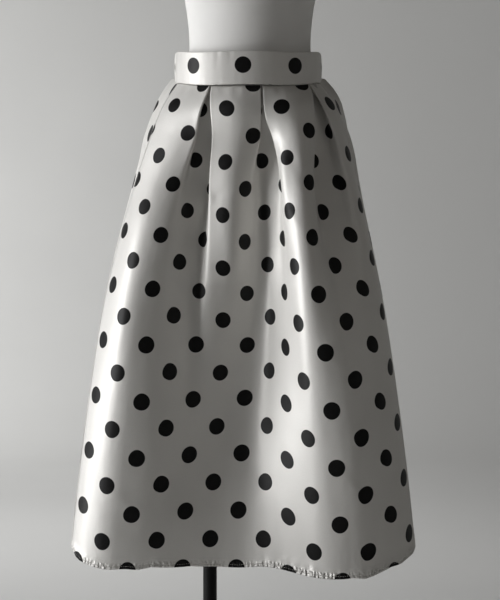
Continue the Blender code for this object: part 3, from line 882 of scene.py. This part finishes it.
class SkirtColours(bpy.types.PropertyGroup):
    """Colours of the cloth, the form and the stand."""

    cloth: colour("Cloth", "Ivory ground of the satin", (0.745, 0.730, 0.700))
    dots: colour("Dots", "Black of the printed dots", (0.0030, 0.0028, 0.0029))
    form: colour("Form cover", "White of the jersey cover", (0.80, 0.79, 0.77))
    stand: colour("Stand", "Black of the powder coat", (0.004, 0.004, 0.0042))
    wood: colour("Neck cap", "Stain of the turned cap", (0.085, 0.050, 0.030))
    wall: colour("Studio", "Paint of the studio's wall and floor", (0.70, 0.70, 0.69))


# Operators


def cloth_rows(turn):
    """Drops of the rows down the skirt: close at the waist and the hem."""
    top = np.linspace(0, 0.10, 41)
    middle = np.linspace(0.10, SKIRT_LONG - turn - 0.004, 150)
    step = SKIRT_LONG - turn + np.array([-0.0025, -0.0012, 0.0, 0.0012, 0.0025, 0.005, 0.0070])
    edge = SKIRT_LONG - np.array([STITCH_ABOVE, 0.0026, 0.0016, 0.0006, 0.0])
    return np.unique(np.round(np.concatenate([top, middle, step, edge]), 6))


def front_columns(count):
    """Columns across the front, crowded where the pleats fold."""
    at = np.linspace(FRONT_FROM[0], FRONT_TO[0], 4000)
    want = np.ones(len(at))
    for row in FRONT:
        if row[2] < 0.1:
            away = at - row[1]
            want += 3.4 * np.exp(-((away / 0.10) ** 2)) + 0.8 * np.exp(-((away / 0.30) ** 2))
    run = np.concatenate([[0], np.cumsum((want[1:] + want[:-1]) / 2)])
    return np.interp(np.linspace(0, run[-1], count), run, at)


def rounded(share):
    """A quarter circle from 0 up to 1, the section of a cloth's turned edge."""
    return np.sqrt(1 - (1 - np.clip(share, 0, 1)) ** 2)


def hem_walls(rows, sizes):
    """Wall of each row: thicker where the hem is turned, rounded at its fold."""
    deep = rows - (SKIRT_LONG - sizes.hem_turn)
    walls = sizes.wall + (sizes.hem_wall - sizes.wall) * ease((deep + 0.0006) / 0.0012)
    return walls * (0.35 + 0.65 * rounded((SKIRT_LONG - rows) / 0.0012))


def puckers(along, seed_phase):
    """Small uneven waves along a stitched edge, between -1 and 1."""
    wave = np.sin(2 * math.pi * along / 0.0137 + seed_phase)
    wave += 0.8 * np.sin(2 * math.pi * along / 0.0213 + 1.7 * seed_phase + 0.6)
    wave += 0.6 * np.sin(2 * math.pi * along / 0.0089 + 2.3 * seed_phase)
    return wave / 2.4


def from_sides(across):
    """Metres from a panel's first and from its last edge."""
    return np.stack([across - across[:, :1], across[:, -1:] - across], 2)


def skirt_grids(sizes):
    rows = cloth_rows(sizes.hem_turn)
    columns = front_columns(sizes.front_columns)
    cut = front_cut(front_across(SKIRT_LONG, columns))

    def rise(drop):
        return front_rise(drop, front_across(drop, columns))

    front, down = hung(front_plan, columns, rows, False, rise, cut)
    t = np.linspace(0, 1, sizes.back_columns)
    back, back_down = hung(back_plan, t, rows, True, lambda drop: back_rise(drop, t), back_cut(t))
    across = np.array([front_across(drop, columns) for drop in rows]) * STEP
    n = normals_of(front)
    inner_edge = ease((across - across[:, :1]) / 0.02) * ease((across[:, -1:] - across) / 0.02)
    relief = creases(across, down, FRONT_CREASES)
    hem_near = ease((rows[:, None] - (SKIRT_LONG - 0.035)) / 0.024)
    step = across / STEP
    strong = 1 + 0.9 * np.exp(-(((step - 7.6) / 1.5) ** 2)) + 0.7 * np.exp(-(((step + 0.8) / 0.9) ** 2))
    relief += HEM_WAVE * strong * puckers(across * 0.6, 0.4) * hem_near
    front = front + n * (relief * inner_edge)[..., None]
    front_uv = np.stack([across + 2 * STEP, down + 2 * STEP], 2)
    above = np.repeat((SKIRT_LONG - rows)[:, None], len(columns), 1)
    front_maps = (front_uv, np.stack([across, above], 2), from_sides(across))
    wide = BACK_WIDE[0] + (BACK_WIDE[1] - BACK_WIDE[0]) * rows / SKIRT_LONG
    across = (t[None, :] - 0.5) * wide[:, None]
    n = normals_of(back)
    inner_edge = ease(t[None, :] / 0.03) * ease((1 - t[None, :]) / 0.03)
    relief = creases(across, back_down, BACK_CREASES) + HEM_WAVE * puckers(across * 0.6, 1.9) * hem_near
    back = back + n * (relief * inner_edge)[..., None]
    back_uv = np.stack([across + 0.52, back_down + 0.113], 2)
    above = np.repeat((SKIRT_LONG - rows)[:, None], len(t), 1)
    back_maps = (back_uv, np.stack([across + 1.0, above], 2), from_sides(across))
    return rows, front, front_maps, back, back_maps


def stitch_row(name, grid, n, walls, row, sizes):
    """A row of thread stitches lying on the cloth's outer face along one of its rows."""
    line = grid[row] - n[row] * (np.asarray(walls)[row] / 2 + 0.00008)
    lengths = np.concatenate([[0], np.cumsum(np.linalg.norm(np.diff(line, axis=0), axis=1))])
    data = bpy.data.curves.new(name + "_line", "CURVE")
    data.dimensions = "3D"
    data.twist_mode = "Z_UP"
    spline = data.splines.new("POLY")
    spline.points.add(len(line) - 1)
    spline.points.foreach_set("co", np.concatenate([line, np.ones((len(line), 1))], 1).ravel())
    guide = bpy.data.objects.new(name + "_line", data)
    bpy.context.scene.collection.objects.link(guide)
    nothing_selected()
    bpy.ops.mesh.primitive_ico_sphere_add(subdivisions=1, radius=0.5, location=(0, 0, 0))
    thread = bpy.context.object
    bpy.ops.object.mode_set(mode="EDIT")
    bpy.ops.mesh.select_all(action="SELECT")
    bpy.ops.transform.resize(value=(sizes.stitch_long * 0.72, 0.00050, 0.00042), center_override=(0, 0, 0))
    bpy.ops.transform.translate(value=(sizes.stitch_long, 0, 0))
    bpy.ops.object.mode_set(mode="OBJECT")
    many = thread.modifiers.new("row", "ARRAY")
    many.count = int(lengths[-1] / sizes.stitch_long) - 1
    many.use_relative_offset = False
    many.use_constant_offset = True
    many.constant_offset_displace = (sizes.stitch_long, 0, 0)
    follow = thread.modifiers.new("along", "CURVE")
    follow.object = guide
    follow.deform_axis = "POS_X"
    apply_all(thread)
    bpy.ops.object.shade_smooth()
    thread = settle(thread, name, cotton(name + " cotton"))
    bpy.data.objects.remove(guide)
    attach(thread, "root")
    return thread


class SKIRT_OT_panels(bpy.types.Operator):
    """Front panel with its three box pleats and the gathered back panel, as thin walls of satin"""

    bl_idname = "skirt.panels"
    bl_label = "Skirt panels"

    def execute(self, context):
        sizes, colours = context.scene.skirt_sizes, context.scene.skirt_colours
        rows, front, front_maps, back, back_maps = skirt_grids(sizes)
        n_front, n_back = mitred(front, back)
        walls = hem_walls(rows, sizes)
        right = satin("printed satin", sizes, colours)
        wrong = satin("printed satin inside", sizes, colours, wrong_side=True)
        made = cloth_wall("front_panel_cloth", front, n_front, walls, front_maps, right, wrong)
        stands_for(made, "skirt_front")
        other = cloth_wall("back_panel_cloth", back, n_back, walls, back_maps, right, wrong)
        stands_for(other, "skirt_back")
        at_hem = int(np.argmin(np.abs(rows - (SKIRT_LONG - STITCH_ABOVE))))
        stitch_row("front_hem_stitches", front, n_front, walls, at_hem, sizes)
        stitch_row("back_hem_stitches", back, n_back, walls, at_hem, sizes)
        return {"FINISHED"}


def ring_point(angle, out):
    """A point of the waist ring, the angle measured from the front towards the right."""
    deep = RING_FRONT if math.cos(angle) > 0 else RING_BACK
    return RING_X + (RING_HALF_WIDE + out) * math.sin(angle), -(deep + out) * math.cos(angle)


def band_grid(angles, behind, bulge):
    """The band's middle surface, top row first, metres along it and its rows' shares of its height."""
    steps = np.array(BAND_STEPS)
    grid = np.zeros((len(steps), len(angles), 3))
    for c, angle in enumerate(angles):
        x, y = ring_point(angle, 0)
        low = SEAM_Z + seam_lift(x, y, behind)
        high = SEAM_Z + BAND_HIGH + seam_lift(x, y, False) * 0.86
        for r, t in enumerate(steps):
            out = 0.0006 * math.sin(math.pi * t) - 0.0004 * (1 - t)
            x, y = ring_point(angle, out + bulge[r, c] if bulge is not None else out)
            grid[r, c] = (x + FORM_X, y, high + (low - high) * t)
    run = np.concatenate([[0], np.cumsum(np.linalg.norm(np.diff(grid[10], axis=0), axis=1))])
    return grid, run, steps


def band_maps(along, down):
    """The band's maps: its print, no hem within reach, and its side seams."""
    flat = np.stack(np.meshgrid(along, down), 2)
    return flat, flat + 1.0, from_sides(flat[..., 0])


class SKIRT_OT_waistband(bpy.types.Operator):
    """Firm waistband in front and the same band gathered on elastic behind"""

    bl_idname = "skirt.waistband"
    bl_label = "Waistband"

    def execute(self, context):
        sizes, colours = context.scene.skirt_sizes, context.scene.skirt_colours
        angles = np.linspace(SEAM_ANGLE_LEFT, SEAM_ANGLE_RIGHT, 150)
        _, run, steps = band_grid(angles, False, None)
        depth = (1 - steps[:, None]) ** 2.2
        edge = ease((run / 0.02))[None, :] * ease((run[-1] - run) / 0.02)[None, :]
        from_pucker = run - np.interp(math.radians(-19), angles, run)
        gathered = 0.25 + 0.9 * np.exp(-((from_pucker / 0.020) ** 2))[None, :]
        top_wave = depth ** 1.6 * 0.0006 * gathered * puckers(run * 0.8, 0.9)[None, :] * edge
        low_wave = steps[:, None] ** 6 * 0.0003 * puckers(run * 0.9, 2.1)[None, :] * edge
        front, _, _ = band_grid(angles, False, top_wave + low_wave)
        zero = np.interp(math.radians(-3.8), angles, run)
        front_maps = band_maps(run - zero + 6 * STEP, steps * BAND_HIGH - 0.0215 + 3 * STEP)
        angles = np.linspace(SEAM_ANGLE_RIGHT, 2 * math.pi + SEAM_ANGLE_LEFT, BAND_GATHERS * 9 + 1)
        t = np.linspace(0, 1, len(angles))
        edge = ease(t / 0.05) * ease((1 - t) / 0.05)
        turn = 2 * math.pi * t
        phase = BAND_GATHERS * turn + 0.7 * np.sin(5 * turn) + 0.5 * np.sin(11 * turn + 1)
        height = 0.0012 * (1 + 0.35 * np.sin(7 * turn + 2))
        wave = height * np.sin(phase) * edge
        shape = 0.55 + 0.45 * np.sin(math.pi * np.clip(steps, 0, 1)) ** 0.8
        back, run, steps = band_grid(angles, True, shape[:, None] * wave[None, :])
        back_maps = band_maps(run * 1.9 + 0.13, steps * BAND_HIGH + 0.10)
        n_front, n_back = mitred(front, back)
        walls = sizes.band_wall * (0.3 + 0.7 * rounded(steps / 0.022))
        walls *= 0.6 + 0.4 * rounded((1 - steps) / 0.016)
        right = satin("waistband satin", sizes, colours)
        wrong = satin("waistband satin inside", sizes, colours, wrong_side=True)
        made = cloth_wall("waistband_front_cloth", front, n_front, walls, front_maps, right, wrong)
        stands_for(made, "waistband_front")
        other = cloth_wall("waistband_back_cloth", back, n_back, walls, back_maps, right, wrong)
        stands_for(other, "waistband_back")
        stitch_row("front_band_stitches", front, n_front, walls, BAND_STITCH_ROW, sizes)
        stitch_row("back_band_stitches", back, n_back, walls, BAND_STITCH_ROW, sizes)
        return {"FINISHED"}


class SKIRT_OT_dress_form(bpy.types.Operator):
    """Plain limbless dress form in a white jersey cover, with a turned cap on its neck"""

    bl_idname = "skirt.dress_form"
    bl_label = "Dress form"

    def execute(self, context):
        colours = context.scene.skirt_colours
        nothing_selected()
        height, wide, deep, middle = FORM[0]
        foot = (FORM_X, middle, height)
        bpy.ops.mesh.primitive_circle_add(vertices=48, radius=1.0, fill_type="NGON", location=foot)
        body = context.object
        bpy.ops.object.mode_set(mode="EDIT")
        bpy.ops.mesh.select_all(action="SELECT")
        bpy.ops.transform.resize(value=(wide, deep, 1), center_override=foot)
        bpy.ops.mesh.flip_normals()
        for before, row in zip(FORM, FORM[1:]):
            level = before[0] - body.location.z
            pick(lambda face: abs(face.calc_center_median().z - level) < 1e-5 and abs(face.normal.z) > 0.99)
            way = (0, row[3] - before[3], row[0] - before[0])
            bpy.ops.mesh.extrude_region_move(TRANSFORM_OT_translate={"value": way})
            share = (row[1] / before[1], row[2] / before[2], 1)
            bpy.ops.transform.resize(value=share, center_override=(FORM_X, row[3], row[0]))
        pick(lambda face: abs(face.normal.z) > 0.99)
        bpy.ops.mesh.inset(thickness=0.012)
        bpy.ops.mesh.inset(thickness=0.014)
        bpy.ops.mesh.select_all(action="SELECT")
        bpy.ops.mesh.normals_make_consistent(inside=False)
        bpy.ops.object.mode_set(mode="OBJECT")
        smooth = body.modifiers.new("rounded", "SUBSURF")
        smooth.levels = smooth.render_levels = 2
        apply_all(body)
        bpy.ops.object.shade_smooth()
        body = settle(body, "form_body", jersey("white jersey", colours))
        stands_for(body, "dress_form")

        nothing_selected()
        place = (FORM_X, CAP_Y, CAP_Z)
        bpy.ops.mesh.primitive_cylinder_add(vertices=72, radius=CAP_RADIUS, depth=CAP_HIGH, location=place)
        cap = context.object
        bpy.ops.object.mode_set(mode="EDIT")
        pick(lambda face: abs(face.normal.z) > 0.99)
        bpy.ops.mesh.bevel(offset=0.0028, segments=4, affect="EDGES")
        pick(lambda face: face.normal.z > 0.99 and len(face.verts) > 8)
        bpy.ops.mesh.inset(thickness=0.012)
        bpy.ops.mesh.inset(thickness=0.002)
        bpy.ops.transform.translate(value=(0, 0, -0.0008))
        bpy.ops.object.mode_set(mode="OBJECT")
        bpy.ops.object.shade_smooth_by_angle(angle=math.radians(40))
        cap = settle(cap, "turned_neck_cap", dark_wood("stained wood", colours))
        stands_for(cap, "neck_cap")
        return {"FINISHED"}


def turned(name, radius, low, high, soft, shade):
    """A round steel part about the pole's axis, its edges softened."""
    nothing_selected()
    middle = (0, 0, (low + high) / 2)
    bpy.ops.mesh.primitive_cylinder_add(vertices=96, radius=radius, depth=high - low, location=middle)
    part = bpy.context.object
    bpy.ops.object.mode_set(mode="EDIT")
    pick(lambda face: abs(face.normal.z) > 0.99)
    bpy.ops.mesh.bevel(offset=soft, segments=3, affect="EDGES")
    bpy.ops.object.mode_set(mode="OBJECT")
    bpy.ops.object.shade_smooth_by_angle(angle=math.radians(40))
    return settle(part, name, shade)


class SKIRT_OT_stand(bpy.types.Operator):
    """Pole, collar, plate and round base in black powder coat"""

    bl_idname = "skirt.stand"
    bl_label = "Pole stand"

    def execute(self, context):
        coat = steel("black powder coat", context.scene.skirt_colours)
        for node, name, soft in (
            ("stand_pole", "steel_pole", 0.0006),
            ("form_plate", "steel_form_plate", 0.0015),
            ("base_collar", "steel_collar", 0.003),
            ("stand_base", "steel_base", 0.003),
        ):
            low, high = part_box(node)
            part = turned(name, (high[0] - low[0]) / 2, low[2], high[2], soft, coat)
            stands_for(part, node)
        return {"FINISHED"}


class SKIRT_OT_studio(bpy.types.Operator):
    """Pale floor and wall in one curve, soft window light from the left, and the camera"""

    bl_idname = "skirt.studio"
    bl_label = "Studio"

    def execute(self, context):
        colours = context.scene.skirt_colours
        nothing_selected()
        flat, bend, turns = 3.4, 3.1, 12
        bpy.ops.mesh.primitive_circle_add(vertices=96, radius=flat, fill_type="NGON", location=(0, 0, 0))
        cove = context.object
        bpy.ops.object.mode_set(mode="EDIT")
        bpy.ops.mesh.select_all(action="SELECT")
        before = (flat, 0.0)
        for i in range(1, turns + 1):
            angle = math.pi / 2 * i / turns
            radius, height = flat + bend * math.sin(angle), bend * (1 - math.cos(angle))
            bpy.ops.mesh.extrude_region_move(TRANSFORM_OT_translate={"value": (0, 0, height - before[1])})
            share = radius / before[0]
            bpy.ops.transform.resize(value=(share, share, 1), center_override=(0, 0, height))
            before = (radius, height)
        bpy.ops.mesh.extrude_region_move(TRANSFORM_OT_translate={"value": (0, 0, 2.0)})
        bpy.ops.mesh.delete(type="ONLY_FACE")
        bpy.ops.object.mode_set(mode="OBJECT")
        bpy.ops.object.shade_smooth()
        cove = settle(cove, "studio_cove", plaster_and_painted_shade("studio paint and painted shade", tuple(colours.wall)))

        def lamp(name, place, aim, size, power, colour):
            data = bpy.data.lights.new(name, "AREA")
            data.shape = "RECTANGLE"
            data.size, data.size_y = size
            data.energy = power
            data.color = colour
            made = bpy.data.objects.new(name, data)
            made.location = place
            made.rotation_euler = (Vector(aim) - Vector(place)).to_track_quat("-Z", "Y").to_euler()
            context.scene.collection.objects.link(made)

        for row in LAMPS:
            lamp(*row)
        world = bpy.data.worlds.new("studio air")
        world.use_nodes = True
        world.node_tree.nodes["Background"].inputs[0].default_value = (1.0, 0.91, 0.81, 1.0)
        world.node_tree.nodes["Background"].inputs[1].default_value = 0.034
        context.scene.world = world
        view = context.scene.view_settings
        view.view_transform = "Standard"
        data = bpy.data.cameras.new("camera")
        data.lens = CAMERA_LENS
        data.sensor_width = 36.0
        data.clip_start, data.clip_end = 0.05, 60.0
        camera = bpy.data.objects.new("camera", data)
        camera.location = (FORM_X, -CAMERA_AWAY, CAMERA_HIGH)
        camera.rotation_euler = (math.radians(90), 0, 0)
        context.scene.collection.objects.link(camera)
        context.scene.camera = camera
        return {"FINISHED"}


class SKIRT_PT_maker(bpy.types.Panel):
    """Sidebar panel with the skirt's sizes, colours and makers"""

    bl_label = "Flared skirt"
    bl_idname = "SKIRT_PT_maker"
    bl_space_type = "VIEW_3D"
    bl_region_type = "UI"
    bl_category = "Skirt"

    def draw(self, context):
        layout = self.layout
        for group in (context.scene.skirt_sizes, context.scene.skirt_colours):
            box = layout.box()
            for key in group.__annotations__:
                box.prop(group, key)
        for maker in MAKERS:
            layout.operator(maker.bl_idname)


MAKERS = (SKIRT_OT_panels, SKIRT_OT_waistband, SKIRT_OT_dress_form, SKIRT_OT_stand, SKIRT_OT_studio)
CLASSES = (SkirtSizes, SkirtColours, *MAKERS, SKIRT_PT_maker)


def register():
    for kind in CLASSES:
        bpy.utils.register_class(kind)
    bpy.types.Scene.skirt_sizes = PointerProperty(type=SkirtSizes)
    bpy.types.Scene.skirt_colours = PointerProperty(type=SkirtColours)


def unregister():
    del bpy.types.Scene.skirt_colours
    del bpy.types.Scene.skirt_sizes
    for kind in reversed(CLASSES):
        bpy.utils.unregister_class(kind)


def main():
    register()
    bpy.ops.skirt.panels()
    bpy.ops.skirt.waistband()
    bpy.ops.skirt.dress_form()
    bpy.ops.skirt.stand()
    bpy.ops.skirt.studio()
    bpy.context.view_layer.update()


if __name__ == "__main__":
    main()
